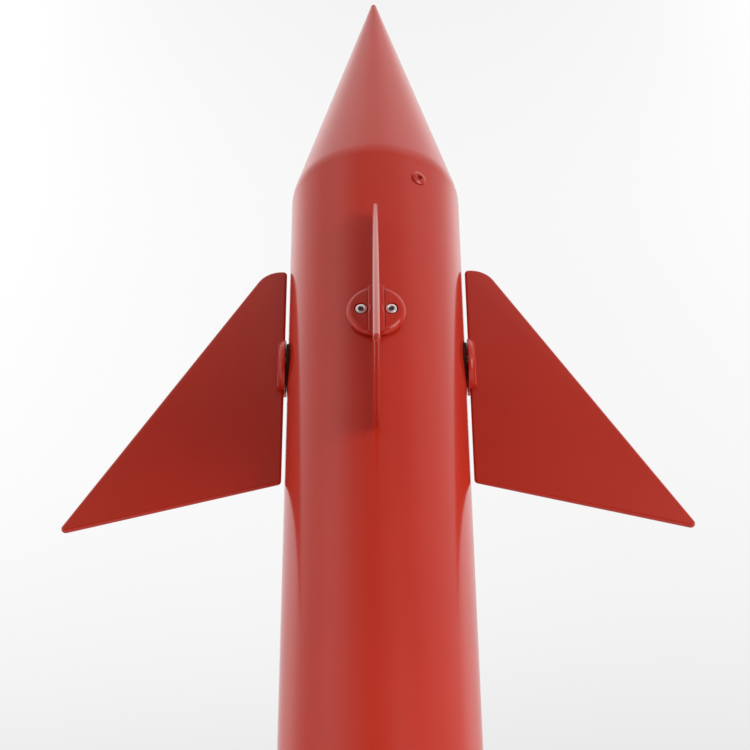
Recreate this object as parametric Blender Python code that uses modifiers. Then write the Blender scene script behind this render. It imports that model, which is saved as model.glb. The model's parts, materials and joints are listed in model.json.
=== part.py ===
"""Tin space rocket with four pivoting fins.

A rolled steel tube carries a spun nose cone, a weighted base and four fins.  Each fin is
brazed into a round hub.  Two socket screws hold the hub on a spindle, which turns in a bush
that goes through the tube's wall.  The origin is the middle of the base, and +Z is up.
"""

import math

import bmesh
import bpy
from mathutils import Matrix, Vector

MM = 0.001
GAP = 0.3 * MM                       # space left between neighbouring pieces

# Body tube, nose and base, as radii and heights
TUBE_RADIUS = 42.5 * MM
SHEET = 1.2 * MM
FOOT_HEIGHT = 3.0 * MM
SEAM_HEIGHT = 439.5 * MM
SHOULDER_HEIGHT = 444.1 * MM
NOSE_HALF_ANGLE = math.radians(15.6)
SHOULDER_RADIUS = 28.0 * MM
TIP_RADIUS = 1.5 * MM
TIP_CORE_RADIUS = 4.0 * MM
COLLAR_TOP = 442.9 * MM
COLLAR_BOTTOM = 416.0 * MM
TUBE_STEPS = 48

# Fin pivots
PIVOT_HEIGHT = 340.0 * MM
FIN_DIRECTIONS = {"front": -90.0, "right": 0.0, "rear": 90.0, "left": 180.0}

# Fin blade corners: distance from the rocket's axis, height from the pivot, corner radius
FIN_THICKNESS = 2.8 * MM
FIN_CORNERS = [
    (44.1 * MM, -65.0 * MM, 2.0 * MM),
    (144.4 * MM, -91.0 * MM, 2.0 * MM),
    (54.4 * MM, 59.2 * MM, 13.3 * MM),
    (44.1 * MM, 59.2 * MM, 2.0 * MM),
]
FIN_EDGE_ROUNDING = 1.0 * MM

# Fin hub and its screws, placed by distance from the rocket's axis
HUB_RADIUS = 13.7 * MM
HUB_BACK = 43.2 * MM
HUB_FACE = 46.4 * MM
HUB_BAR_TOP = 47.3 * MM
HUB_BAR_WIDTH = 7.7 * MM
HUB_EDGE_ROUNDING = 1.4 * MM
HUB_BAR_END_RADIUS = 13.4 * MM
HUB_SCREW_SPACING = 13.7 * MM
SCREW_HEAD_RADIUS = 2.75 * MM
SCREW_HEAD_HEIGHT = 2.0 * MM
SCREW_HEAD_CHAMFER = 0.3 * MM
SCREW_RADIUS = 1.5 * MM
SCREW_END = 39.9 * MM
HEX_KEY_RADIUS = 1.45 * MM
SOCKET_DEPTH = 1.3 * MM
COUNTERBORE_GAP = 0.4 * MM

# Pivot: spindle, bush, spring washer and lock nut
SPINDLE_FACE = 42.9 * MM
SPINDLE_FLANGE_RADIUS = 10.0 * MM
SPINDLE_FLANGE = 3.5 * MM
SPINDLE_RADIUS = 5.0 * MM
SPINDLE_END = 21.0 * MM
SPINDLE_CHAMFER = 0.6 * MM
BUSH_RADIUS = 12.0 * MM
BUSH_FACE = 42.8 * MM
BUSH_FLANGE_RADIUS = 15.0 * MM
BUSH_FLANGE_FACE = 38.1 * MM
BUSH_FLANGE = 2.0 * MM
BUSH_SLEEVE_RADIUS = 8.5 * MM
BUSH_END = 30.0 * MM
BUSH_RECESS_RADIUS = 10.4 * MM
STOP_PIN_RADIUS = 1.0 * MM
STOP_PIN_OFFSET = 8.8 * MM
STOP_PIN_START = 37.0 * MM
STOP_PIN_END = 41.9 * MM
PIVOT_TRAVEL = math.radians(30.0)
WASHER_RADIUS = 8.2 * MM
WASHER_SHEET = 0.8 * MM
WASHER_RISE = 0.6 * MM
LOCK_NUT_FLATS = 17.0 * MM
LOCK_NUT_HEIGHT = 6.2 * MM

# Rivets through the tube's wall
RIVET_RADIUS = 2.0 * MM
RIVET_HEAD_RADIUS = 3.8 * MM
RIVET_HEAD_HEIGHT = 1.1 * MM
RIVET_RIM_HEIGHT = 0.35 * MM
RIVET_DIMPLE_RADIUS = 1.33 * MM
RIVET_DIMPLE_DEPTH = 0.9 * MM
RIVET_TAIL_START = TUBE_RADIUS - 3.2 * MM
RIVET_TAIL_LENGTH = 3.8 * MM
RIVET_TAIL_RADIUS = 2.9 * MM
NOSE_RIVET_HEIGHT = 428.0 * MM
NOSE_RIVET_AZIMUTHS = (-60.0, 120.0)
BASE_RIVET_HEIGHT = 12.0 * MM
BASE_RIVET_AZIMUTHS = (-60.0, 60.0, 180.0)

# Inside the base
CUP_RADIUS = 40.9 * MM
CUP_TOP = 19.0 * MM
CUP_CORNER_RADIUS = 2.0 * MM
BALLAST_RADIUS = 35.0 * MM
BALLAST_HEIGHT = 20.0 * MM
BALLAST_CHAMFER = 1.0 * MM
BOLT_RADIUS = 4.0 * MM
BOLT_CHAMFER = 0.5 * MM
BOLT_HEAD_RADIUS = 8.0 * MM
BOLT_HEAD_HEIGHT = 2.1 * MM
BOLT_LENGTH = 31.0 * MM
BOLT_NUT_FLATS = 13.0 * MM
BOLT_NUT_HEIGHT = 6.5 * MM
FOOT_HOLE_RADIUS = 10.0 * MM
FOOT_CHAMFER = 0.8 * MM

# Colour, roughness and metallic value of each material
FINISHES = {
    "red_paint": ((0.55, 0.035, 0.02), 0.35, 0.0),
    "zinc_plate": ((0.72, 0.71, 0.68), 0.3, 1.0),
    "bare_steel": ((0.5, 0.5, 0.5), 0.4, 1.0),
    "blackened_steel": ((0.05, 0.045, 0.04), 0.5, 1.0),
    "black_rubber": ((0.02, 0.02, 0.02), 0.8, 0.0),
}


def clear_scene():
    for item in list(bpy.data.objects):
        bpy.data.objects.remove(item, do_unlink=True)


def new_material(name, finish):
    colour, roughness, metallic = FINISHES[finish]
    material = bpy.data.materials.new(name)
    material.use_nodes = True
    shader = material.node_tree.nodes["Principled BSDF"]
    shader.inputs["Base Color"].default_value = (*colour, 1.0)
    shader.inputs["Roughness"].default_value = roughness
    shader.inputs["Metallic"].default_value = metallic
    return material


def new_object(name, data):
    item = bpy.data.objects.new(name, data)
    rocket.objects.link(item)
    return item


# Outlines

def arc(centre, radius, start, end, steps):
    """Points on a circle from one angle to another, in radians, with both ends."""
    points = []
    for i in range(steps + 1):
        angle = start + (end - start) * i / steps
        points.append((centre[0] + radius * math.cos(angle), centre[1] + radius * math.sin(angle)))
    return points


def rounded_outline(corners, steps):
    """A closed outline whose corners, given as x, y and radius, are rounded by arcs."""
    outline = []
    for i, (x, y, radius) in enumerate(corners):
        corner = Vector((x, y))
        before = (Vector(corners[i - 1][:2]) - corner).normalized()
        after = (Vector(corners[(i + 1) % len(corners)][:2]) - corner).normalized()
        half_angle = before.angle(after) / 2
        centre = corner + (before + after).normalized() * (radius / math.sin(half_angle))
        start = corner + before * (radius / math.tan(half_angle)) - centre
        end = corner + after * (radius / math.tan(half_angle)) - centre
        turn = start.angle_signed(end)
        first = math.atan2(start.y, start.x)
        outline += arc(centre, radius, first, first - turn, steps)
    return outline


# Solids

def turned(profile, steps=TUBE_STEPS, ring=True):
    """Turn a profile of (radius, height) points round Z.

    The points run down the outer side.  A ring's profile closes on itself, and any other
    profile starts and ends on the axis.
    """
    mesh = bpy.data.meshes.new("profile")
    edges = [(i, i + 1) for i in range(len(profile) - 1)]
    if ring:
        edges.append((len(profile) - 1, 0))
    mesh.from_pydata([(radius, 0.0, height) for radius, height in profile], edges, [])
    item = new_object("turned", mesh)
    screw = item.modifiers.new("turn", "SCREW")
    screw.axis = "Z"
    screw.angle = 2 * math.pi
    screw.steps = steps
    screw.render_steps = steps
    screw.use_merge_vertices = True
    screw.merge_threshold = 0.00001
    return item


def rod(radius, start, end, steps=20):
    """A cylinder, or with 6 steps a hexagonal bar, from one point to another."""
    start = Vector(start)
    along = Vector(end) - start
    place = Matrix.Translation(start + along / 2) @ along.to_track_quat("Z", "Y").to_matrix().to_4x4()
    mesh = bpy.data.meshes.new("rod")
    shape = bmesh.new()
    bmesh.ops.create_cone(shape, cap_ends=True, segments=steps, radius1=radius, radius2=radius,
                          depth=along.length, matrix=place)
    shape.to_mesh(mesh)
    shape.free()
    return new_object("rod", mesh)


def block(low, high):
    """A box from its lowest corner to its highest."""
    low = Vector(low)
    size = Vector(high) - low
    mesh = bpy.data.meshes.new("block")
    shape = bmesh.new()
    bmesh.ops.create_cube(shape, size=1.0)
    bmesh.ops.scale(shape, vec=size, verts=shape.verts)
    bmesh.ops.translate(shape, vec=low + size / 2, verts=shape.verts)
    shape.to_mesh(mesh)
    shape.free()
    return new_object("block", mesh)


def combine(item, operation, tools):
    """Add a Boolean modifier for each tool."""
    for tool in tools:
        tool.hide_render = True
        tool.display_type = "WIRE"
        boolean = item.modifiers.new(operation.lower(), "BOOLEAN")
        boolean.operation = operation
        boolean.solver = "EXACT"
        boolean.object = tool
    return item


def finished_mesh(item):
    """The item's mesh with its modifiers applied; the item and its Boolean tools are removed."""
    tools = [modifier.object for modifier in item.modifiers if modifier.type == "BOOLEAN"]
    bpy.context.view_layer.update()
    evaluated = item.evaluated_get(bpy.context.evaluated_depsgraph_get())
    mesh = bpy.data.meshes.new_from_object(evaluated)
    for used in [item, *tools]:
        bpy.data.objects.remove(used, do_unlink=True)
    mesh.materials.clear()
    mesh.shade_smooth()
    mesh.set_sharp_from_angle(angle=math.radians(35.0))
    return mesh


def add_part(name, mesh, finish, place=Matrix(), parent=None):
    """Make a named sub-part with its own material from a finished mesh."""
    mesh = mesh.copy()
    mesh.name = name
    mesh.materials.append(new_material(name, finish))
    part = new_object(name, mesh)
    part.parent = parent
    part.matrix_local = place
    return part


def outward(azimuth, height):
    """A frame on the rocket's axis whose Z points outward and whose Y points up."""
    return Matrix.Translation((0.0, 0.0, height)) @ (
        Matrix.Rotation(math.radians(azimuth) + math.pi / 2, 4, "Z") @ Matrix.Rotation(math.pi / 2, 4, "X"))


def radial_rod(radius, azimuth, height, start, end, steps=12):
    """A rod along a radius of the rocket."""
    place = outward(azimuth, height)
    return rod(radius, place @ Vector((0, 0, start)), place @ Vector((0, 0, end)), steps)


# Body, nose and rivets

def body_tube():
    inner = TUBE_RADIUS - SHEET
    bottom = FOOT_HEIGHT + GAP
    tube = turned([(TUBE_RADIUS, SEAM_HEIGHT), (TUBE_RADIUS, bottom), (inner, bottom), (inner, SEAM_HEIGHT)])
    reach = 2 * TUBE_RADIUS
    holes = [
        rod(BUSH_RADIUS + GAP, (-reach, 0, PIVOT_HEIGHT), (reach, 0, PIVOT_HEIGHT), 32),
        rod(BUSH_RADIUS + GAP, (0, -reach, PIVOT_HEIGHT), (0, reach, PIVOT_HEIGHT), 32),
    ]
    holes += rivet_holes(NOSE_RIVET_AZIMUTHS, NOSE_RIVET_HEIGHT)
    holes += rivet_holes(BASE_RIVET_AZIMUTHS, BASE_RIVET_HEIGHT)
    return finished_mesh(combine(tube, "DIFFERENCE", holes))


def rivet_holes(azimuths, height):
    return [radial_rod(RIVET_RADIUS + GAP, azimuth, height, 0.8 * TUBE_RADIUS, 1.1 * TUBE_RADIUS)
            for azimuth in azimuths]


def nose_cone():
    """A cone of sheet metal with a rounded shoulder and a solid, rounded tip."""
    slope = math.tan(NOSE_HALF_ANGLE)
    apex = SHOULDER_HEIGHT + TUBE_RADIUS / slope
    tip_centre = (0.0, apex - TIP_RADIUS / math.sin(NOSE_HALF_ANGLE))
    shoulder_centre = (TUBE_RADIUS - SHOULDER_RADIUS,
                       SHOULDER_HEIGHT - SHOULDER_RADIUS * math.tan(NOSE_HALF_ANGLE / 2))
    inner = TUBE_RADIUS - SHEET
    inner_apex = apex - SHEET / math.sin(NOSE_HALF_ANGLE)
    profile = arc(tip_centre, TIP_RADIUS, math.pi / 2, NOSE_HALF_ANGLE, 3)
    profile += arc(shoulder_centre, SHOULDER_RADIUS, NOSE_HALF_ANGLE, 0.0, 3)
    profile[0] = (0.0, profile[0][1])
    profile += [
        (TUBE_RADIUS, SEAM_HEIGHT + GAP),
        (inner, SEAM_HEIGHT + GAP),
        (inner, inner_apex - inner / slope),
        (TIP_CORE_RADIUS, inner_apex - TIP_CORE_RADIUS / slope),
        (0.0, inner_apex - TIP_CORE_RADIUS / slope),
    ]
    return finished_mesh(turned(profile, ring=False))


def nose_collar():
    """The sleeve that joins the nose to the tube."""
    outer = TUBE_RADIUS - SHEET - GAP
    inner = outer - SHEET
    sleeve = turned([(outer, COLLAR_TOP), (outer, COLLAR_BOTTOM), (inner, COLLAR_BOTTOM), (inner, COLLAR_TOP)])
    return finished_mesh(combine(sleeve, "DIFFERENCE", rivet_holes(NOSE_RIVET_AZIMUTHS, NOSE_RIVET_HEIGHT)))


def blind_rivet():
    """A domed head with the hole of its mandrel, a shank and the set end behind the sheets."""
    under_head = TUBE_RADIUS + GAP
    rim = under_head + RIVET_RIM_HEIGHT
    top = under_head + RIVET_HEAD_HEIGHT
    dimple = top - RIVET_DIMPLE_DEPTH
    tail_end = RIVET_TAIL_START - RIVET_TAIL_LENGTH
    tail_slope = 0.15 * RIVET_TAIL_LENGTH
    profile = [
        (0.0, dimple),
        (RIVET_DIMPLE_RADIUS, dimple),
        (RIVET_DIMPLE_RADIUS, top),
        (0.7 * RIVET_HEAD_RADIUS, (rim + 2 * top) / 3),
        (RIVET_HEAD_RADIUS, rim),
        (RIVET_HEAD_RADIUS, under_head),
        (RIVET_RADIUS, under_head),
        (RIVET_RADIUS, RIVET_TAIL_START),
        (RIVET_TAIL_RADIUS, RIVET_TAIL_START - tail_slope),
        (RIVET_TAIL_RADIUS, tail_end + tail_slope),
        (RIVET_RADIUS, tail_end),
        (0.0, tail_end),
    ]
    return finished_mesh(turned(profile, 16, ring=False))


# Base

def base_cup():
    """A pressed cup that closes the tube's lower end."""
    bottom = FOOT_HEIGHT + GAP
    hole = BOLT_RADIUS + GAP
    corner = CUP_CORNER_RADIUS
    corner_centre = (CUP_RADIUS - corner, bottom + corner)
    profile = [(CUP_RADIUS, CUP_TOP)]
    profile += arc(corner_centre, corner, 0.0, -math.pi / 2, 2)
    profile += [(hole, bottom), (hole, bottom + SHEET)]
    profile += arc(corner_centre, corner - SHEET, -math.pi / 2, 0.0, 2)
    profile += [(CUP_RADIUS - SHEET, CUP_TOP)]
    cup = turned(profile)
    return finished_mesh(combine(cup, "DIFFERENCE", rivet_holes(BASE_RIVET_AZIMUTHS, BASE_RIVET_HEIGHT)))


def ballast_disc():
    bottom = FOOT_HEIGHT + SHEET + 2 * GAP
    top = bottom + BALLAST_HEIGHT
    hole = BOLT_RADIUS + GAP
    profile = [
        (BALLAST_RADIUS - BALLAST_CHAMFER, top),
        (BALLAST_RADIUS, top - BALLAST_CHAMFER),
        (BALLAST_RADIUS, bottom + BALLAST_CHAMFER),
        (BALLAST_RADIUS - BALLAST_CHAMFER, bottom),
        (hole, bottom),
        (hole, top),
    ]
    return finished_mesh(turned(profile, 32))


def ballast_bolt():
    """A mushroom-headed bolt up through the base, with its head in the foot's hole."""
    top = FOOT_HEIGHT + BOLT_LENGTH
    profile = [
        (0.0, top),
        (BOLT_RADIUS - BOLT_CHAMFER, top),
        (BOLT_RADIUS, top - BOLT_CHAMFER),
        (BOLT_RADIUS, FOOT_HEIGHT),
        (BOLT_HEAD_RADIUS, FOOT_HEIGHT),
        (0.85 * BOLT_HEAD_RADIUS, FOOT_HEIGHT - 0.65 * BOLT_HEAD_HEIGHT),
        (0.5 * BOLT_HEAD_RADIUS, FOOT_HEIGHT - 0.95 * BOLT_HEAD_HEIGHT),
        (0.0, FOOT_HEIGHT - BOLT_HEAD_HEIGHT),
    ]
    return finished_mesh(turned(profile, 20, ring=False))


def hex_nut(flats, bore, low, high):
    nut = rod(flats / math.sqrt(3), (0, 0, low), (0, 0, high), 6)
    return finished_mesh(combine(nut, "DIFFERENCE", [rod(bore, (0, 0, low - MM), (0, 0, high + MM))]))


def foot_pad():
    """A rubber disc under the tube, with a chamfered edge."""
    profile = [
        (TUBE_RADIUS, FOOT_HEIGHT),
        (TUBE_RADIUS, FOOT_CHAMFER),
        (TUBE_RADIUS - FOOT_CHAMFER, 0.0),
        (FOOT_HOLE_RADIUS, 0.0),
        (FOOT_HOLE_RADIUS, FOOT_HEIGHT),
    ]
    return finished_mesh(turned(profile))


# Fin and pivot pieces, each in the frame of its pivot: Z outward from the rocket's axis, Y up

def fin_blade():
    curve = bpy.data.curves.new("fin", "CURVE")
    curve.dimensions = "2D"
    curve.fill_mode = "BOTH"
    curve.extrude = FIN_THICKNESS / 2
    outline = rounded_outline(FIN_CORNERS, 5)
    spline = curve.splines.new("POLY")
    spline.points.add(len(outline) - 1)
    spline.use_cyclic_u = True
    for point, (x, y) in zip(spline.points, outline):
        point.co = (x, y, 0.0, 1.0)
    blade = new_object("fin", curve)
    weld = blade.modifiers.new("weld", "WELD")
    weld.merge_threshold = 0.00001
    bevel = blade.modifiers.new("edges", "BEVEL")
    bevel.width = FIN_EDGE_ROUNDING
    bevel.segments = 2
    bevel.limit_method = "ANGLE"
    bevel.angle_limit = math.radians(60.0)
    mesh = finished_mesh(blade)
    mesh.transform(Matrix.Rotation(-math.pi / 2, 4, "Y"))
    return mesh


def screw_places():
    return [(side * HUB_SCREW_SPACING / 2, 0.0) for side in (-1, 1)]


def fin_hub():
    """A round hub with a slotted bar for the fin and two counterbored screw holes."""
    centre = (HUB_RADIUS - HUB_EDGE_ROUNDING, HUB_FACE - HUB_EDGE_ROUNDING)
    profile = [(0.0, HUB_FACE)]
    profile += arc(centre, HUB_EDGE_ROUNDING, math.pi / 2, 0.0, 3)
    profile += [(HUB_RADIUS, HUB_BACK), (0.0, HUB_BACK)]
    hub = turned(profile, 32, ring=False)

    middle = (HUB_BACK + HUB_FACE) / 2
    bar = block((-HUB_BAR_WIDTH / 2, -HUB_RADIUS, middle), (HUB_BAR_WIDTH / 2, HUB_RADIUS, HUB_BAR_TOP))
    bar_end = rod(HUB_BAR_END_RADIUS, (0, 0, HUB_BACK), (0, 0, HUB_BAR_TOP + MM), 32)
    bar = new_object("bar", finished_mesh(combine(bar, "INTERSECT", [bar_end])))
    combine(hub, "UNION", [bar])

    slot_floor = FIN_CORNERS[0][0] - GAP
    slot = FIN_THICKNESS / 2 + GAP
    cuts = [block((-slot, -2 * HUB_RADIUS, slot_floor), (slot, 2 * HUB_RADIUS, HUB_BAR_TOP + MM))]
    seat = HUB_FACE - SCREW_HEAD_HEIGHT - GAP
    for x, y in screw_places():
        cuts.append(rod(SCREW_HEAD_RADIUS + COUNTERBORE_GAP, (x, y, seat), (x, y, HUB_FACE + MM), 16))
        cuts.append(rod(SCREW_RADIUS + GAP, (x, y, HUB_BACK - MM), (x, y, seat + GAP), 12))
    return finished_mesh(combine(hub, "DIFFERENCE", cuts))


def hub_screw():
    """A low-head socket screw."""
    under_head = HUB_FACE - SCREW_HEAD_HEIGHT
    profile = [
        (0.0, HUB_FACE),
        (SCREW_HEAD_RADIUS - SCREW_HEAD_CHAMFER, HUB_FACE),
        (SCREW_HEAD_RADIUS, HUB_FACE - SCREW_HEAD_CHAMFER),
        (SCREW_HEAD_RADIUS, under_head),
        (SCREW_RADIUS, under_head),
        (SCREW_RADIUS, SCREW_END),
        (0.0, SCREW_END),
    ]
    screw = turned(profile, 14, ring=False)
    socket = rod(HEX_KEY_RADIUS, (0, 0, HUB_FACE - SOCKET_DEPTH), (0, 0, HUB_FACE + MM), 6)
    return finished_mesh(combine(screw, "DIFFERENCE", [socket]))


def pivot_spindle():
    """A flange for the hub on a shaft; a flat on the flange meets the stop pin at each end."""
    under_flange = SPINDLE_FACE - SPINDLE_FLANGE
    profile = [
        (0.0, SPINDLE_FACE),
        (SPINDLE_FLANGE_RADIUS, SPINDLE_FACE),
        (SPINDLE_FLANGE_RADIUS, under_flange),
        (SPINDLE_RADIUS, under_flange),
        (SPINDLE_RADIUS, SPINDLE_END + SPINDLE_CHAMFER),
        (SPINDLE_RADIUS - SPINDLE_CHAMFER, SPINDLE_END),
        (0.0, SPINDLE_END),
    ]
    spindle = turned(profile, 24, ring=False)
    flat = STOP_PIN_OFFSET * math.cos(PIVOT_TRAVEL) - STOP_PIN_RADIUS - GAP
    reach = 2 * SPINDLE_FLANGE_RADIUS
    cuts = [block((-reach, flat, under_flange - MM), (reach, reach, SPINDLE_FACE + MM))]
    cuts += [rod(SCREW_RADIUS + GAP, (x, y, under_flange - MM), (x, y, SPINDLE_FACE + MM), 12)
             for x, y in screw_places()]
    return finished_mesh(combine(spindle, "DIFFERENCE", cuts))


def pivot_bush():
    bore = SPINDLE_RADIUS + GAP
    recess_floor = SPINDLE_FACE - SPINDLE_FLANGE - GAP
    profile = [
        (BUSH_RADIUS, BUSH_FACE),
        (BUSH_RADIUS, BUSH_FLANGE_FACE),
        (BUSH_FLANGE_RADIUS, BUSH_FLANGE_FACE),
        (BUSH_FLANGE_RADIUS, BUSH_FLANGE_FACE - BUSH_FLANGE),
        (BUSH_SLEEVE_RADIUS, BUSH_FLANGE_FACE - BUSH_FLANGE),
        (BUSH_SLEEVE_RADIUS, BUSH_END),
        (bore, BUSH_END),
        (bore, recess_floor),
        (BUSH_RECESS_RADIUS, recess_floor),
        (BUSH_RECESS_RADIUS, BUSH_FACE),
    ]
    bush = turned(profile, 24)
    hole_end = STOP_PIN_START - GAP
    hole = rod(STOP_PIN_RADIUS + GAP, (0, STOP_PIN_OFFSET, hole_end), (0, STOP_PIN_OFFSET, BUSH_FACE), 10)
    return finished_mesh(combine(bush, "DIFFERENCE", [hole]))


def stop_pin():
    return finished_mesh(
        rod(STOP_PIN_RADIUS, (0, STOP_PIN_OFFSET, STOP_PIN_START), (0, STOP_PIN_OFFSET, STOP_PIN_END), 10))


def spring_washer():
    """A cone washer squeezed between the bush and the lock nut."""
    bore = SPINDLE_RADIUS + GAP
    top = BUSH_END - GAP
    profile = [
        (WASHER_RADIUS, top),
        (WASHER_RADIUS, top - WASHER_SHEET),
        (bore, top - WASHER_SHEET - WASHER_RISE),
        (bore, top - WASHER_RISE),
    ]
    return finished_mesh(turned(profile, 20))


def lock_nut():
    top = BUSH_END - 2 * GAP - WASHER_SHEET - WASHER_RISE
    return hex_nut(LOCK_NUT_FLATS, SPINDLE_RADIUS + GAP, top - LOCK_NUT_HEIGHT, top)


# Assembly

def add_body():
    add_part("body_tube", body_tube(), "red_paint")
    add_part("nose_cone", nose_cone(), "red_paint")
    add_part("nose_collar", nose_collar(), "bare_steel")
    rivet = blind_rivet()
    for number, azimuth in enumerate(NOSE_RIVET_AZIMUTHS, 1):
        add_part(f"nose_rivet_{number}", rivet, "red_paint", outward(azimuth, NOSE_RIVET_HEIGHT))
    for number, azimuth in enumerate(BASE_RIVET_AZIMUTHS, 1):
        add_part(f"base_rivet_{number}", rivet, "red_paint", outward(azimuth, BASE_RIVET_HEIGHT))


def add_base():
    ballast_top = FOOT_HEIGHT + SHEET + 2 * GAP + BALLAST_HEIGHT
    nut_low = ballast_top + GAP
    nut = hex_nut(BOLT_NUT_FLATS, BOLT_RADIUS + GAP, nut_low, nut_low + BOLT_NUT_HEIGHT)
    add_part("base_cup", base_cup(), "bare_steel")
    add_part("ballast_disc", ballast_disc(), "bare_steel")
    add_part("ballast_bolt", ballast_bolt(), "zinc_plate")
    add_part("ballast_nut", nut, "zinc_plate")
    add_part("foot_pad", foot_pad(), "black_rubber")


def add_fins():
    """Each pivot's moving pieces hang from an empty whose Z is the pivot's axis."""
    blade = fin_blade()
    hub = fin_hub()
    screw = hub_screw()
    spindle = pivot_spindle()
    washer = spring_washer()
    nut = lock_nut()
    bush = pivot_bush()
    pin = stop_pin()
    for side, azimuth in FIN_DIRECTIONS.items():
        place = outward(azimuth, PIVOT_HEIGHT)
        pivot = new_object(f"fin_pivot_{side}", None)
        pivot.matrix_world = place
        add_part(f"fin_blade_{side}", blade, "red_paint", parent=pivot)
        add_part(f"fin_hub_{side}", hub, "red_paint", parent=pivot)
        for letter, (x, y) in zip("ab", screw_places()):
            add_part(f"hub_screw_{side}_{letter}", screw, "zinc_plate", Matrix.Translation((x, y, 0)), pivot)
        add_part(f"pivot_spindle_{side}", spindle, "bare_steel", parent=pivot)
        add_part(f"spring_washer_{side}", washer, "bare_steel", parent=pivot)
        add_part(f"lock_nut_{side}", nut, "zinc_plate", parent=pivot)
        add_part(f"pivot_bush_{side}", bush, "blackened_steel", place)
        add_part(f"stop_pin_{side}", pin, "bare_steel", place)


clear_scene()
rocket = bpy.data.collections.new("tin_space_rocket")
bpy.context.scene.collection.children.link(rocket)
add_body()
add_base()
add_fins()
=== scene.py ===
"""The looks of the tin space rocket.

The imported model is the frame.  Finer pieces stand for the painted body, the nose, the fins,
the hubs, the rivets, the screws and the foot, and the pieces inside keep their CAD shapes.
"""

import json
import math

import bmesh
import bpy
from mathutils import Matrix, Vector


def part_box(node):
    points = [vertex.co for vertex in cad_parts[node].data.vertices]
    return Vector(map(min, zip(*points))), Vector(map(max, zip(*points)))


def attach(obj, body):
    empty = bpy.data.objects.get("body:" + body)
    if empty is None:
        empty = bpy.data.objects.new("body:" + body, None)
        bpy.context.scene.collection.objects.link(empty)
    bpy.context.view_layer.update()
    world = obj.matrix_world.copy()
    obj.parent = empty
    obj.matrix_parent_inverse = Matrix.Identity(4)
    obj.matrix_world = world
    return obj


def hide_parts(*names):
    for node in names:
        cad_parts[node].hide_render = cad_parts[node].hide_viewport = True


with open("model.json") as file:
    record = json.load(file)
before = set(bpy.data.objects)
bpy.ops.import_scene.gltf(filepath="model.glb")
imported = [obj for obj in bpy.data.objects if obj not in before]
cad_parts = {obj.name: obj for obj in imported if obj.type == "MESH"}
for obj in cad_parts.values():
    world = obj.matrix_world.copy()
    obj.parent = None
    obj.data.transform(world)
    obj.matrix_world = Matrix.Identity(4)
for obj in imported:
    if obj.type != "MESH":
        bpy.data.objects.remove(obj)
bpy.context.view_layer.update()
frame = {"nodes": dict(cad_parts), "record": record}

MM = 0.001
SIDES = {"front": -90.0, "right": 0.0, "rear": 90.0, "left": 180.0}

# Places and sizes from the frame
tube_low, tube_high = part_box("body_tube")
nose_low, nose_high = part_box("nose_cone")
foot_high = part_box("foot_pad")[1]
hub_low, hub_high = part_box("fin_hub_front")
blade_low, blade_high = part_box("fin_blade_front")
bush_low, bush_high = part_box("pivot_bush_front")
screw_low, screw_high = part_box("hub_screw_front_b")
TUBE_RADIUS = tube_high.y
TUBE_BOTTOM = tube_low.z
SEAM_HEIGHT = nose_low.z
NOSE_TOP = nose_high.z
PIVOT_HEIGHT = (hub_low.z + hub_high.z) / 2
HUB_RADIUS = (hub_high.x - hub_low.x) / 2
HUB_BACK = -hub_high.y
HUB_BAR_TOP = -hub_low.y
SCREW_OFFSET = (screw_low.x + screw_high.x) / 2
SCREW_HEAD_RADIUS = (screw_high.z - screw_low.z) / 2
HUB_FACE = -screw_low.y
BLADE_THICKNESS = blade_high.x - blade_low.x
BLADE_ROOT = -blade_high.y
FOOT_HEIGHT = foot_high.z

# The design's own sizes that no box gives
SHEET = 1.2 * MM
TUBE_LIP = 0.25 * MM
SEAM_GAP = 0.02 * MM
BUSH_FLANGE_OVERLAP = 2.7 * MM
NOSE_HALF_ANGLE = math.radians(15.6)
SHOULDER_RADIUS = 28.0 * MM
TIP_RADIUS = 1.5 * MM
TIP_CORE_RADIUS = 4.0 * MM
HUB_EDGE_ROUNDING = 2.6 * MM
HUB_BAR_WIDTH = 7.7 * MM
HUB_GROOVE = 0.4 * MM
HUB_BAR_ROUNDING = 0.8 * MM
SCREW_HEAD_HEIGHT = 2.0 * MM
SCREW_RADIUS = 1.5 * MM
SCREW_DOME = 0.1 * MM
SCREW_SHANK = 4.5 * MM
SCREW_TURNS = {"a": 20.0, "b": 47.0}
COUNTERBORE_GAP = 0.5 * MM
COUNTERBORE_CHAMFER = 0.18 * MM
HEX_KEY_RADIUS = 1.45 * MM
SOCKET_DEPTH = 1.35 * MM
SOCKET_CHAMFER_DEPTH = 0.6 * MM
# Height of the dark plug that paints the shade on each socket's floor
SOCKET_SHADE_DEPTH = 0.7 * MM
BLADE_EDGE_ROUNDING = 1.3 * MM
BLADE_CORNERS = [
    (BLADE_ROOT, -65.0 * MM, 2.0 * MM),
    (144.4 * MM, -91.0 * MM, 2.0 * MM),
    (54.4 * MM, 59.2 * MM, 13.3 * MM),
    (BLADE_ROOT, 59.2 * MM, 2.0 * MM),
]
RIVET_HEAD_RADIUS = 3.8 * MM
RIVET_HEAD_HEIGHT = 1.2 * MM
RIVET_HOLE_RADIUS = 1.4 * MM
RIVET_HOLE_DEPTH = 1.15 * MM
RIVET_SHANK_RADIUS = 2.0 * MM
RIVET_GRIP = 3.2 * MM
RIVET_LENGTH = 7.0 * MM
WALL_HOLE_RADIUS = 2.3 * MM
MANDREL_RADIUS = 1.05 * MM
NOSE_RIVET_AZIMUTHS = (-60.0, 120.0)
BASE_RIVET_AZIMUTHS = (-60.0, 60.0, 180.0)
FOOT_HOLE_RADIUS = 10.0 * MM
FOOT_GROOVE_SPACING = 4.0 * MM
FOOT_GROOVE_DEPTH = 0.5 * MM

# Nearly all of a noise texture's values lie between these
NOISE_LOW = 0.3
NOISE_HIGH = 0.7

# The floor's half width and the middle of its depth
FLOOR_HALF = 0.9
FLOOR_MIDDLE = 0.6

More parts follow.
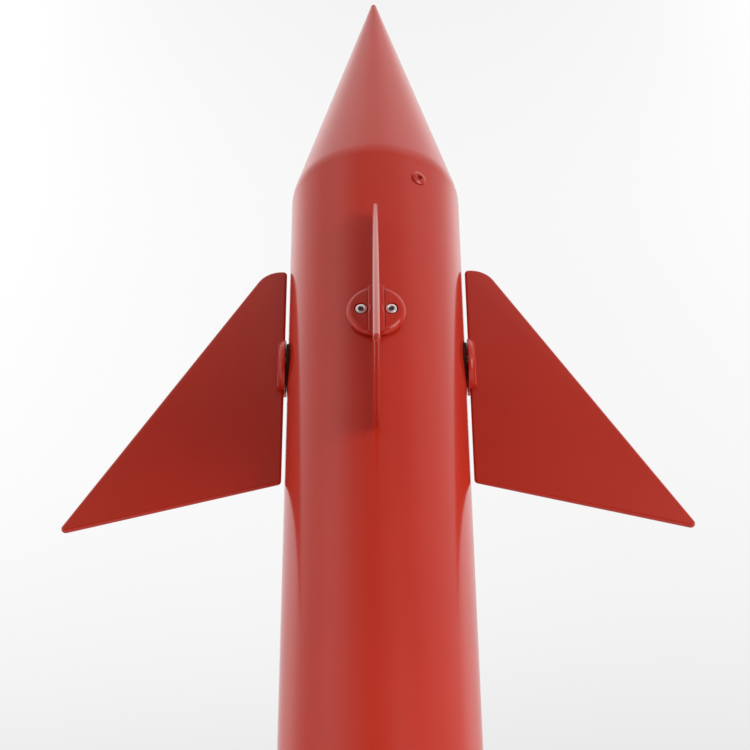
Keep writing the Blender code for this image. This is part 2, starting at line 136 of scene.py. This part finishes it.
# Camera, in the rocket's frame
CAMERA_PLACE = (0.0, -0.6809, -0.1573)
CAMERA_PITCH = math.radians(35.92)
CAMERA_YAW = math.radians(0.072)
CAMERA_ROLL = math.radians(-0.468)
SENSOR = 36.0
FOCAL_LENGTH = 84.69

# The key light: its direction from the fins' pivots, distance, diameter and power
KEY_AZIMUTH = 48.0
KEY_ELEVATION = -9.0
KEY_DISTANCE = 1.3
KEY_SIZE = 0.8
KEY_POWER = 5.6

# The studio's glows: azimuth from the front to the right, elevation, reach and strength
GLOWS = [
    (28.0, 8.0, 25.0, 0.5),
    (0.0, -20.0, 60.0, 0.1),
    (0.0, -80.0, 50.0, 0.4),
    (180.0, -20.0, 60.0, 0.42),
    (62.0, -10.0, 30.0, 0.34),
    (45.0, 15.0, 50.0, 0.24),
    (-50.0, 15.0, 40.0, 0.57),
    (-50.0, 22.0, 22.0, 0.2),
    (-80.0, -10.0, 30.0, 1.1),
    (-105.0, -10.0, 30.0, 0.32),
    (130.0, 25.0, 55.0, 0.45),
    (130.0, 28.0, 25.0, 0.46),
    (-130.0, 25.0, 55.0, 0.5),
    (-130.0, 28.0, 25.0, 0.37),
    (180.0, 50.0, 42.0, 0.69),
    (90.0, 50.0, 50.0, 0.58),
    (-90.0, 50.0, 50.0, 0.53),
    (0.0, 80.0, 50.0, 0.71),
    (0.0, 30.0, 30.0, 0.17),
]


# Outlines and meshes

def arc(centre, radius, start, end, steps):
    """Points on a circle from one angle to another, in radians, with both ends."""
    points = []
    for i in range(steps + 1):
        angle = start + (end - start) * i / steps
        points.append((centre[0] + radius * math.cos(angle), centre[1] + radius * math.sin(angle)))
    return points


def rounded(corners, steps, closed=True):
    """An outline whose corners, given as x, y and radius, are rounded by arcs."""
    outline = []
    last = len(corners) - 1
    for i, (x, y, radius) in enumerate(corners):
        if radius == 0.0 or (not closed and i in (0, last)):
            outline.append((x, y))
            continue
        corner = Vector((x, y))
        before = (Vector(corners[i - 1][:2]) - corner).normalized()
        after = (Vector(corners[(i + 1) % len(corners)][:2]) - corner).normalized()
        half_angle = before.angle(after) / 2
        centre = corner + (before + after).normalized() * (radius / math.sin(half_angle))
        start = corner + before * (radius / math.tan(half_angle)) - centre
        end = corner + after * (radius / math.tan(half_angle)) - centre
        first = math.atan2(start.y, start.x)
        outline += arc(centre, radius, first, first - start.angle_signed(end), steps)
    return outline


def between(start, end, steps):
    """Points from start to end, without either."""
    return [tuple(Vector(start).lerp(Vector(end), i / steps)) for i in range(1, steps)]


def new_object(name, mesh):
    item = bpy.data.objects.new(name, mesh)
    bpy.context.scene.collection.objects.link(item)
    return item


def lathe(profile, steps, ring=False):
    """A mesh turned round Z from (radius, height) points that run down the outer side."""
    shape = bmesh.new()
    rows = []
    for radius, height in profile:
        if radius < 1e-7:
            rows.append([shape.verts.new((0.0, 0.0, height))] * steps)
            continue
        row = []
        for i in range(steps):
            angle = 2 * math.pi * i / steps
            row.append(shape.verts.new((radius * math.cos(angle), radius * math.sin(angle), height)))
        rows.append(row)
    pairs = list(zip(rows, rows[1:]))
    if ring:
        pairs.append((rows[-1], rows[0]))
    for upper, lower in pairs:
        for i in range(steps):
            j = (i + 1) % steps
            corners = []
            for vert in (upper[i], lower[i], lower[j], upper[j]):
                if vert not in corners:
                    corners.append(vert)
            shape.faces.new(corners)
    mesh = bpy.data.meshes.new("lathe")
    shape.to_mesh(mesh)
    shape.free()
    return mesh


def rod(radius, start, end, steps):
    """A cylinder from one point to another."""
    start = Vector(start)
    along = Vector(end) - start
    place = Matrix.Translation(start + along / 2) @ along.to_track_quat("Z", "Y").to_matrix().to_4x4()
    shape = bmesh.new()
    bmesh.ops.create_cone(shape, cap_ends=True, segments=steps, radius1=radius, radius2=radius,
                          depth=along.length, matrix=place)
    mesh = bpy.data.meshes.new("rod")
    shape.to_mesh(mesh)
    shape.free()
    return mesh


def block(low, high, rounding=0.0):
    """A box from its lowest corner to its highest, with rounded edges."""
    low = Vector(low)
    size = Vector(high) - low
    shape = bmesh.new()
    bmesh.ops.create_cube(shape, size=1.0)
    bmesh.ops.scale(shape, vec=size, verts=shape.verts)
    bmesh.ops.translate(shape, vec=low + size / 2, verts=shape.verts)
    if rounding:
        bmesh.ops.bevel(shape, geom=shape.edges[:], offset=rounding, segments=4, profile=0.5,
                        affect="EDGES")
    mesh = bpy.data.meshes.new("block")
    shape.to_mesh(mesh)
    shape.free()
    return mesh


def carve(mesh, operation, tools):
    """The mesh with each tool mesh cut from it, joined to it or kept in common with it."""
    item = new_object("carved", mesh)
    helpers = []
    for tool in tools:
        helper = new_object("tool", tool)
        boolean = item.modifiers.new("cut", "BOOLEAN")
        boolean.operation = operation
        boolean.solver = "EXACT"
        boolean.object = helper
        helpers.append(helper)
    result = applied(item)
    for helper in helpers:
        bpy.data.objects.remove(helper, do_unlink=True)
    return result


def applied(item):
    """The item's evaluated mesh; the item is removed."""
    bpy.context.view_layer.update()
    mesh = bpy.data.meshes.new_from_object(item.evaluated_get(bpy.context.evaluated_depsgraph_get()))
    bpy.data.objects.remove(item, do_unlink=True)
    return mesh


def smooth(mesh, angle):
    """Shade the mesh smooth, except at edges sharper than the angle in degrees."""
    mesh.shade_smooth()
    mesh.set_sharp_from_angle(angle=math.radians(angle))
    return mesh


def outward(azimuth, height):
    """A frame on the rocket's axis whose Z points outward and whose Y points up."""
    return Matrix.Translation((0.0, 0.0, height)) @ (
        Matrix.Rotation(math.radians(azimuth) + math.pi / 2, 4, "Z") @ Matrix.Rotation(math.pi / 2, 4, "X"))


def add_piece(name, mesh, material, body, place=Matrix(), nodes=()):
    """A finished piece that rides on a CAD body and stands for the nodes."""
    mesh = mesh.copy()
    mesh.name = name
    mesh.materials.clear()
    mesh.materials.append(material)
    piece = new_object(name, mesh)
    piece.matrix_world = place
    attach(piece, body)
    if nodes:
        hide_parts(*nodes)


# Materials

class Finish:
    """A Principled material with helpers for its procedural detail, in metres."""

    def __init__(self, name, metallic=0.0):
        self.material = bpy.data.materials.new(name)
        self.material.use_nodes = True
        self.nodes = self.material.node_tree.nodes
        self.links = self.material.node_tree.links
        self.shader = self.nodes["Principled BSDF"]
        self.shader.inputs["Metallic"].default_value = metallic
        self.place = self.nodes.new("ShaderNodeTexCoord").outputs["Object"]

    def noise(self, scale, detail, stretch=None):
        """Noise with scale features to the metre, stretched along an axis if asked."""
        place = self.place
        if stretch:
            mapping = self.nodes.new("ShaderNodeMapping")
            mapping.inputs["Scale"].default_value = stretch
            self.links.new(place, mapping.inputs["Vector"])
            place = mapping.outputs["Vector"]
        texture = self.nodes.new("ShaderNodeTexNoise")
        texture.inputs["Scale"].default_value = scale
        texture.inputs["Detail"].default_value = detail
        self.links.new(place, texture.inputs["Vector"])
        return texture.outputs["Fac"]

    def spread(self, value, low, high):
        """A noise value, mapped to the range from low to high."""
        node = self.nodes.new("ShaderNodeMapRange")
        node.inputs["From Min"].default_value = NOISE_LOW
        node.inputs["From Max"].default_value = NOISE_HIGH
        node.inputs["To Min"].default_value = low
        node.inputs["To Max"].default_value = high
        self.links.new(value, node.inputs["Value"])
        return node.outputs["Result"]

    def colour(self, value, dark, light):
        """A base colour between dark and light."""
        node = self.nodes.new("ShaderNodeMix")
        node.data_type = "RGBA"
        node.inputs["A"].default_value = (*dark, 1.0)
        node.inputs["B"].default_value = (*light, 1.0)
        self.links.new(value, node.inputs["Factor"])
        self.links.new(node.outputs["Result"], self.shader.inputs["Base Color"])

    def roughness(self, value, low, high):
        self.links.new(self.spread(value, low, high), self.shader.inputs["Roughness"])

    def bump(self, value, height):
        """Relief of a height in metres."""
        node = self.nodes.new("ShaderNodeBump")
        node.inputs["Strength"].default_value = 1.0
        node.inputs["Distance"].default_value = height
        self.links.new(value, node.inputs["Height"])
        self.links.new(node.outputs["Normal"], self.shader.inputs["Normal"])


def red_paint(name, tone=1.0):
    """Satin gloss paint: a faint change of tone, and a fine orange peel."""
    finish = Finish(name)
    dark = (0.62 * tone, 0.0335 * tone, 0.0145 * tone)
    light = (0.66 * tone, 0.0355 * tone, 0.0155 * tone)
    finish.colour(finish.spread(finish.noise(22.0, 4.0), 0.0, 1.0), dark, light)
    finish.roughness(finish.noise(90.0, 5.0), 0.15, 0.19)
    finish.bump(finish.noise(260.0, 2.0), 0.0015 * MM)
    finish.shader.inputs["IOR"].default_value = 1.5
    return finish.material


def zinc(name):
    """Bright zinc plate, with faint turning marks."""
    finish = Finish(name, metallic=1.0)
    tone = finish.spread(finish.noise(500.0, 3.0), 0.0, 1.0)
    finish.colour(tone, (0.93, 0.93, 0.92), (0.98, 0.98, 0.97))
    finish.roughness(finish.noise(1500.0, 3.0), 0.36, 0.44)
    finish.bump(finish.noise(2500.0, 2.0), 0.01 * MM)
    return finish.material


def steel(name, dark, light, rough):
    finish = Finish(name, metallic=1.0)
    finish.colour(finish.spread(finish.noise(60.0, 5.0), 0.0, 1.0), dark, light)
    finish.roughness(finish.noise(300.0, 4.0), rough - 0.08, rough + 0.08)
    finish.bump(finish.noise(900.0, 3.0, (1.0, 1.0, 6.0)), 0.01 * MM)
    return finish.material


def rubber(name):
    finish = Finish(name)
    tone = finish.spread(finish.noise(120.0, 4.0), 0.0, 1.0)
    finish.colour(tone, (0.016, 0.016, 0.017), (0.03, 0.03, 0.03))
    finish.roughness(finish.noise(400.0, 3.0), 0.65, 0.82)
    finish.bump(finish.noise(1800.0, 3.0), 0.03 * MM)
    return finish.material


def dull_red_brown(name):
    """A dull, dark red-brown, its tone changing at random."""
    finish = Finish(name)
    tone = finish.spread(finish.noise(200.0, 4.0), 0.0, 1.0)
    finish.colour(tone, (0.05, 0.006, 0.003), (0.11, 0.014, 0.007))
    finish.roughness(finish.noise(400.0, 3.0), 0.75, 0.9)
    finish.bump(finish.noise(900.0, 3.0), 0.01 * MM)
    finish.shader.inputs["IOR"].default_value = 1.3
    return finish.material


def plain_studio(name, colour):
    finish = Finish(name)
    shade = tuple(0.985 * channel for channel in colour)
    finish.colour(finish.spread(finish.noise(1.5, 2.0), 0.0, 1.0), colour, shade)
    finish.shader.inputs["Roughness"].default_value = 0.8
    return finish.material


# Painted body

def tube_mesh():
    """The tube with its pivot holes and rivet holes; its walls keep a true cylinder's normals."""
    inner = TUBE_RADIUS - SHEET
    top = (TUBE_RADIUS, SEAM_HEIGHT - SEAM_GAP)
    bottom = (TUBE_RADIUS, TUBE_BOTTOM + TUBE_LIP)
    profile = [top] + between(top, bottom, 24) + [
        bottom,
        (TUBE_RADIUS - TUBE_LIP, TUBE_BOTTOM),
        (inner, TUBE_BOTTOM),
        (inner, SEAM_HEIGHT - SEAM_GAP),
    ]
    mesh = lathe(profile, 192, ring=True)
    reach = 2 * TUBE_RADIUS
    hole = (bush_high.x - bush_low.x) / 2 - BUSH_FLANGE_OVERLAP
    holes = [
        rod(hole, (-reach, 0, PIVOT_HEIGHT), (reach, 0, PIVOT_HEIGHT), 64),
        rod(hole, (0, -reach, PIVOT_HEIGHT), (0, reach, PIVOT_HEIGHT), 64),
    ]
    for node, azimuth in rivet_places():
        place = outward(azimuth, node_height(node))
        start = place @ Vector((0, 0, 0.8 * TUBE_RADIUS))
        end = place @ Vector((0, 0, 1.1 * TUBE_RADIUS))
        holes.append(rod(WALL_HOLE_RADIUS, start, end, 24))
    mesh = carve(mesh, "DIFFERENCE", holes)
    return round_walls(mesh)


def round_walls(mesh):
    """Give the walls of an upright tube the normals of a true cylinder."""
    mesh.shade_smooth()
    upright = 0.95
    normals = []
    for face in mesh.polygons:
        for index in face.vertices:
            point = mesh.vertices[index].co
            radial = Vector((point.x, point.y, 0.0)).normalized()
            facing = face.normal.dot(radial)
            if abs(facing) > upright:
                normals.append(radial * math.copysign(1.0, facing))
            else:
                normals.append(face.normal.copy())
    mesh.normals_split_custom_set(normals)
    return mesh


def node_height(node):
    """The height of the middle of a node's box."""
    low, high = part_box(node)
    return (low.z + high.z) / 2


def rivet_places():
    """Each rivet's node and azimuth."""
    places = [(f"nose_rivet_{i}", azimuth) for i, azimuth in enumerate(NOSE_RIVET_AZIMUTHS, 1)]
    places += [(f"base_rivet_{i}", azimuth) for i, azimuth in enumerate(BASE_RIVET_AZIMUTHS, 1)]
    return places


def nose_mesh():
    """A hollow cone with a rounded tip and a rounded shoulder."""
    slope = math.tan(NOSE_HALF_ANGLE)
    tip_centre = (0.0, NOSE_TOP - TIP_RADIUS)
    apex = tip_centre[1] + TIP_RADIUS / math.sin(NOSE_HALF_ANGLE)
    shoulder = apex - TUBE_RADIUS / slope
    shoulder_centre = (TUBE_RADIUS - SHOULDER_RADIUS,
                       shoulder - SHOULDER_RADIUS * math.tan(NOSE_HALF_ANGLE / 2))
    tip = arc(tip_centre, TIP_RADIUS, math.pi / 2, NOSE_HALF_ANGLE, 10)
    tip[0] = (0.0, NOSE_TOP)
    bend = arc(shoulder_centre, SHOULDER_RADIUS, NOSE_HALF_ANGLE, 0.0, 16)
    inner = TUBE_RADIUS - SHEET
    inner_apex = apex - SHEET / math.sin(NOSE_HALF_ANGLE)
    core = inner_apex - TIP_CORE_RADIUS / slope
    profile = tip + between(tip[-1], bend[0], 20) + bend
    profile += [
        (TUBE_RADIUS, SEAM_HEIGHT),
        (inner, SEAM_HEIGHT),
        (inner, inner_apex - inner / slope),
        (TIP_CORE_RADIUS, core),
        (0.0, core),
    ]
    return smooth(lathe(profile, 192), 40.0)


def rivet_mesh():
    """A set blind rivet: its domed head, the hole of its mandrel and its shank."""
    under = TUBE_RADIUS - 0.05 * MM
    top = TUBE_RADIUS + RIVET_HEAD_HEIGHT
    hole_floor = top - RIVET_HOLE_DEPTH
    corners = [
        (0.0, hole_floor, 0.0),
        (RIVET_HOLE_RADIUS, hole_floor, 0.15 * MM),
        (RIVET_HOLE_RADIUS, top, 0.22 * MM),
        (2.5 * MM, top - 0.06 * MM, 1.0 * MM),
        (RIVET_HEAD_RADIUS, top - 0.6 * MM, 0.2 * MM),
        (RIVET_HEAD_RADIUS, under, 0.2 * MM),
        (RIVET_SHANK_RADIUS, under, 0.2 * MM),
        (RIVET_SHANK_RADIUS, TUBE_RADIUS - RIVET_GRIP, 0.2 * MM),
        (1.5 * RIVET_SHANK_RADIUS, TUBE_RADIUS - RIVET_GRIP - 0.6 * MM, 0.5 * MM),
        (1.4 * RIVET_SHANK_RADIUS, TUBE_RADIUS - RIVET_LENGTH + 0.5 * MM, 0.4 * MM),
        (0.8 * RIVET_SHANK_RADIUS, TUBE_RADIUS - RIVET_LENGTH, 0.2 * MM),
        (0.0, TUBE_RADIUS - RIVET_LENGTH, 0.0),
    ]
    return smooth(lathe(rounded(corners, 4, closed=False), 48), 50.0)


def mandrel_mesh():
    """The broken end of the rivet's mandrel, down in its hole."""
    floor = TUBE_RADIUS + RIVET_HEAD_HEIGHT - RIVET_HOLE_DEPTH
    root = floor - 0.1 * MM
    corners = [
        (0.0, floor + 0.2 * MM, 0.0),
        (0.5 * MM, floor + 0.18 * MM, 0.2 * MM),
        (0.95 * MM, floor + 0.06 * MM, 0.05 * MM),
        (MANDREL_RADIUS, root, 0.05 * MM),
        (0.0, root, 0.0),
    ]
    return smooth(lathe(rounded(corners, 3, closed=False), 24), 60.0)


# Fins, in the frame of their pivot: Z outward from the rocket's axis, Y up

def blade_mesh():
    """A flat plate with rounded corners and rounded edges."""
    outline = rounded(BLADE_CORNERS, 14)
    shape = bmesh.new()
    half = BLADE_THICKNESS / 2
    near = [shape.verts.new((half, y, z)) for z, y in outline]
    far = [shape.verts.new((-half, y, z)) for z, y in outline]
    shape.faces.new(near)
    shape.faces.new(list(reversed(far)))
    for i in range(len(outline)):
        j = (i + 1) % len(outline)
        shape.faces.new((near[i], far[i], far[j], near[j]))
    bmesh.ops.recalc_face_normals(shape, faces=shape.faces)
    rims = [edge for edge in shape.edges if abs(edge.verts[0].co.x - edge.verts[1].co.x) < 1e-9]
    bmesh.ops.bevel(shape, geom=rims, offset=BLADE_EDGE_ROUNDING, segments=5, profile=0.5,
                    affect="EDGES")
    mesh = bpy.data.meshes.new("blade")
    shape.to_mesh(mesh)
    shape.free()
    return smooth(mesh, 60.0)


def screw_places():
    """Each screw's place on its hub's face."""
    return [(side * SCREW_OFFSET, 0.0) for side in (-1, 1)]


def hub_mesh():
    """A round hub with a slotted bar for the blade and two counterbored holes."""
    corners = [
        (0.0, HUB_FACE, 0.0),
        (HUB_RADIUS, HUB_FACE, HUB_EDGE_ROUNDING),
        (HUB_RADIUS, HUB_BACK, 0.35 * MM),
        (0.0, HUB_BACK, 0.0),
    ]
    disc = lathe(rounded(corners, 8, closed=False), 96)
    half = HUB_BAR_WIDTH / 2
    low = (HUB_BACK + HUB_FACE) / 2
    bar = block((-half, -HUB_RADIUS, low), (half, HUB_RADIUS, HUB_BAR_TOP), HUB_BAR_ROUNDING)
    end_corners = [
        (0.0, HUB_BAR_TOP, 0.0),
        (HUB_RADIUS - 0.3 * MM, HUB_BAR_TOP, 0.7 * MM),
        (HUB_RADIUS - 0.3 * MM, HUB_BACK + 0.5 * MM, 0.0),
        (0.0, HUB_BACK + 0.5 * MM, 0.0),
    ]
    bar_ends = lathe(rounded(end_corners, 6, closed=False), 96)
    hub = carve(disc, "UNION", [carve(bar, "INTERSECT", [bar_ends])])
    slot = BLADE_THICKNESS / 2 + 0.1 * MM
    reach = 2 * HUB_RADIUS
    cuts = [block((-slot, -reach, BLADE_ROOT - 0.1 * MM), (slot, reach, HUB_BAR_TOP + MM))]
    for side in (-1, 1):
        groove = side * (half + HUB_GROOVE / 2)
        cuts.append(block((groove - HUB_GROOVE / 2, -reach, HUB_FACE - 1.5 * HUB_GROOVE),
                          (groove + HUB_GROOVE / 2, reach, HUB_FACE + MM)))
    seat = HUB_FACE - SCREW_HEAD_HEIGHT
    bore = SCREW_HEAD_RADIUS + COUNTERBORE_GAP
    shank_hole = SCREW_RADIUS + 0.1 * MM
    counterbore = [
        (0.0, HUB_FACE + MM),
        (bore + COUNTERBORE_CHAMFER + MM, HUB_FACE + MM),
        (bore, HUB_FACE - COUNTERBORE_CHAMFER),
        (bore, seat),
        (shank_hole, seat),
        (shank_hole, HUB_BACK - MM),
        (0.0, HUB_BACK - MM),
    ]
    for x, y in screw_places():
        cutter = lathe(counterbore, 48)
        cutter.transform(Matrix.Translation((x, y, 0.0)))
        cuts.append(cutter)
    return smooth(carve(hub, "DIFFERENCE", cuts), 30.0)


def screw_mesh():
    """A low-head socket screw with a chamfered hexagonal socket."""
    under = HUB_FACE - SCREW_HEAD_HEIGHT + 0.02 * MM
    top = HUB_FACE + SCREW_DOME
    end = under - SCREW_SHANK
    corners = [
        (0.0, top, 0.0),
        (1.5 * MM, top - 0.04 * MM, 2.0 * MM),
        (SCREW_HEAD_RADIUS, top - 0.25 * MM, 0.35 * MM),
        (SCREW_HEAD_RADIUS, under, 0.1 * MM),
        (SCREW_RADIUS, under, 0.15 * MM),
        (SCREW_RADIUS, end, 0.3 * MM),
        (0.0, end, 0.0),
    ]
    body = lathe(rounded(corners, 5, closed=False), 48)
    socket = rod(HEX_KEY_RADIUS, (0, 0, HUB_FACE - SOCKET_DEPTH), (0, 0, top + MM), 6)
    mouth_floor = top - SOCKET_CHAMFER_DEPTH
    mouth = lathe([(0.0, top + MM), (HEX_KEY_RADIUS + 1.2 * MM, top + MM),
                   (HEX_KEY_RADIUS - 0.4 * MM, mouth_floor), (0.0, mouth_floor)], 32)
    return smooth(carve(body, "DIFFERENCE", [socket, mouth]), 30.0)


def socket_mesh():
    """A dark hexagonal plug on the floor of a screw's socket, painting the shade deep in the socket."""
    floor = HUB_FACE - SOCKET_DEPTH
    shade_plug = rod(HEX_KEY_RADIUS - 0.02 * MM, (0, 0, floor - 0.05 * MM), (0, 0, floor + SOCKET_SHADE_DEPTH), 6)
    return smooth(shade_plug, 30.0)


# Foot

def foot_mesh():
    """A rubber disc with a rounded edge and ring grooves under it."""
    corners = [
        (TUBE_RADIUS, FOOT_HEIGHT, 0.3 * MM),
        (TUBE_RADIUS, 0.0, 0.9 * MM),
    ]
    radius = TUBE_RADIUS - FOOT_GROOVE_SPACING
    while radius > FOOT_HOLE_RADIUS + 5.0 * MM:
        corners += [
            (radius, 0.0, 0.15 * MM),
            (radius - 0.4 * MM, FOOT_GROOVE_DEPTH, 0.15 * MM),
            (radius - 1.2 * MM, FOOT_GROOVE_DEPTH, 0.15 * MM),
            (radius - 1.6 * MM, 0.0, 0.15 * MM),
        ]
        radius -= FOOT_GROOVE_SPACING
    corners += [
        (FOOT_HOLE_RADIUS, 0.0, 0.4 * MM),
        (FOOT_HOLE_RADIUS, FOOT_HEIGHT, 0.2 * MM),
    ]
    return smooth(lathe(rounded(corners, 3), 128, ring=True), 50.0)


# Assembly

def add_body():
    add_piece("tube_skin", tube_mesh(), body_paint, "hull", nodes=["body_tube"])
    add_piece("nose_skin", nose_mesh(), nose_paint, "hull", nodes=["nose_cone"])
    add_piece("foot_skin", foot_mesh(), foot_rubber, "hull", nodes=["foot_pad"])
    rivet = rivet_mesh()
    mandrel = mandrel_mesh()
    for node, azimuth in rivet_places():
        place = outward(azimuth, node_height(node))
        add_piece(f"{node}_head", rivet, rivet_paint, "hull", place, [node])
        add_piece(f"{node}_mandrel", mandrel, mandrel_shade_paint, "hull", place)


def add_fins():
    blade = blade_mesh()
    hub = hub_mesh()
    screw = screw_mesh()
    socket = socket_mesh()
    for side, azimuth in SIDES.items():
        place = outward(azimuth, PIVOT_HEIGHT)
        body = f"fin_{side}"
        add_piece(f"blade_{side}", blade, fin_paint, body, place, [f"fin_blade_{side}"])
        add_piece(f"hub_{side}", hub, hub_paint, body, place, [f"fin_hub_{side}"])
        for letter, (x, y) in zip("ab", screw_places()):
            turn = Matrix.Rotation(math.radians(SCREW_TURNS[letter]), 4, "Z")
            seat = place @ Matrix.Translation((x, y, 0.0)) @ turn
            add_piece(f"screw_{side}_{letter}", screw, zinc_plate, body, seat,
                      [f"hub_screw_{side}_{letter}"])
            add_piece(f"socket_{side}_{letter}", socket, socket_shade, body, seat)


def finish_inner_nodes():
    """Give the CAD pieces that stay in view their materials, by material slot."""
    finishes = {
        "zinc_steel": zinc_plate,
        "sheet_steel": sheet_steel,
        "ballast_steel": ballast_steel,
        "turned_steel": dark_steel,
        "bush_steel": bush_red_brown,
    }
    for part in frame["record"]["subparts"]:
        material = finishes.get(part["material_slot"])
        if material:
            node = frame["nodes"][part["node"]]
            node.data.materials.clear()
            node.data.materials.append(material)


# Studio

def add_camera():
    data = bpy.data.cameras.new("camera")
    data.sensor_width = SENSOR
    data.lens = FOCAL_LENGTH
    camera = new_object("camera", data)
    camera.matrix_world = (Matrix.Translation(CAMERA_PLACE) @ Matrix.Rotation(CAMERA_YAW, 4, "Z")
                           @ Matrix.Rotation(math.pi / 2 + CAMERA_PITCH, 4, "X")
                           @ Matrix.Rotation(CAMERA_ROLL, 4, "Z"))
    bpy.context.scene.camera = camera


def add_floor():
    """A pale floor that ends a little way in front, below the low camera's view of the rocket."""
    shape = bmesh.new()
    bmesh.ops.create_grid(shape, x_segments=8, y_segments=8, size=FLOOR_HALF)
    bmesh.ops.translate(shape, vec=(0.0, FLOOR_MIDDLE, 0.0), verts=shape.verts)
    mesh = bpy.data.meshes.new("floor")
    shape.to_mesh(mesh)
    shape.free()
    floor = new_object("floor", mesh)
    mesh.materials.append(plain_studio("floor_paper", (0.8, 0.8, 0.8)))


def add_key_light():
    """A round lamp low down in front and to the right, unseen by the camera."""
    data = bpy.data.lights.new("key_light", "AREA")
    data.shape = "DISK"
    data.size = KEY_SIZE
    data.energy = KEY_POWER
    light = new_object("key_light", data)
    azimuth = math.radians(KEY_AZIMUTH)
    drop = math.tan(math.radians(KEY_ELEVATION)) * KEY_DISTANCE
    toward = Vector((math.sin(azimuth) * KEY_DISTANCE, -math.cos(azimuth) * KEY_DISTANCE, drop))
    light.location = Vector((0.0, 0.0, PIVOT_HEIGHT)) + toward
    light.rotation_euler = (-toward).to_track_quat("-Z", "Y").to_euler()
    light.visible_camera = False


def add_world():
    """A soft studio all round: glows in a dim room, each with its direction, reach and strength."""
    world = bpy.data.worlds.new("studio")
    world.use_nodes = True
    bpy.context.scene.world = world
    nodes = world.node_tree.nodes
    links = world.node_tree.links
    place = nodes.new("ShaderNodeTexCoord")
    total = None
    for azimuth, elevation, reach, strength in GLOWS:
        toward = nodes.new("ShaderNodeVectorMath")
        toward.operation = "DOT_PRODUCT"
        level = math.cos(math.radians(elevation))
        toward.inputs[1].default_value = (level * math.sin(math.radians(azimuth)),
                                          -level * math.cos(math.radians(azimuth)),
                                          math.sin(math.radians(elevation)))
        links.new(place.outputs["Generated"], toward.inputs[0])
        glow = nodes.new("ShaderNodeMapRange")
        glow.interpolation_type = "SMOOTHSTEP"
        glow.inputs["From Min"].default_value = math.cos(math.radians(reach))
        glow.inputs["From Max"].default_value = 1.0
        glow.inputs["To Max"].default_value = strength
        links.new(toward.outputs["Value"], glow.inputs["Value"])
        if total is None:
            total = glow.outputs["Result"]
            continue
        both = nodes.new("ShaderNodeMath")
        both.operation = "ADD"
        links.new(total, both.inputs[0])
        links.new(glow.outputs["Result"], both.inputs[1])
        total = both.outputs["Value"]
    links.new(total, nodes["Background"].inputs["Color"])


body_paint = red_paint("body_paint")
nose_paint = red_paint("nose_paint")
# The fins' paint is the body's red darkened a little: painted shade on the fins
fin_paint = red_paint("fin_paint", 0.89)
hub_paint = red_paint("hub_paint")
rivet_paint = red_paint("rivet_paint", 0.95)
# The mandrel's paint is the red darkened to 15 percent: painted shade down in the rivet's hole
mandrel_shade_paint = red_paint("mandrel_shade_paint", 0.15)
zinc_plate = zinc("zinc_plate")
dark_steel = steel("dark_steel", (0.12, 0.11, 0.10), (0.2, 0.19, 0.18), 0.5)
sheet_steel = steel("sheet_steel", (0.42, 0.42, 0.43), (0.56, 0.56, 0.56), 0.4)
ballast_steel = steel("ballast_steel", (0.10, 0.09, 0.085), (0.17, 0.16, 0.15), 0.6)
bush_red_brown = dull_red_brown("bush_red_brown")
# Dark steel for the plug that paints the shade in the screws' sockets
socket_shade = steel("socket_shade", (0.10, 0.10, 0.10), (0.16, 0.16, 0.16), 0.5)
foot_rubber = rubber("foot_rubber")

add_camera()
add_body()
add_fins()
finish_inner_nodes()
add_floor()
add_key_light()
add_world()
bpy.context.scene.view_settings.view_transform = "Standard"
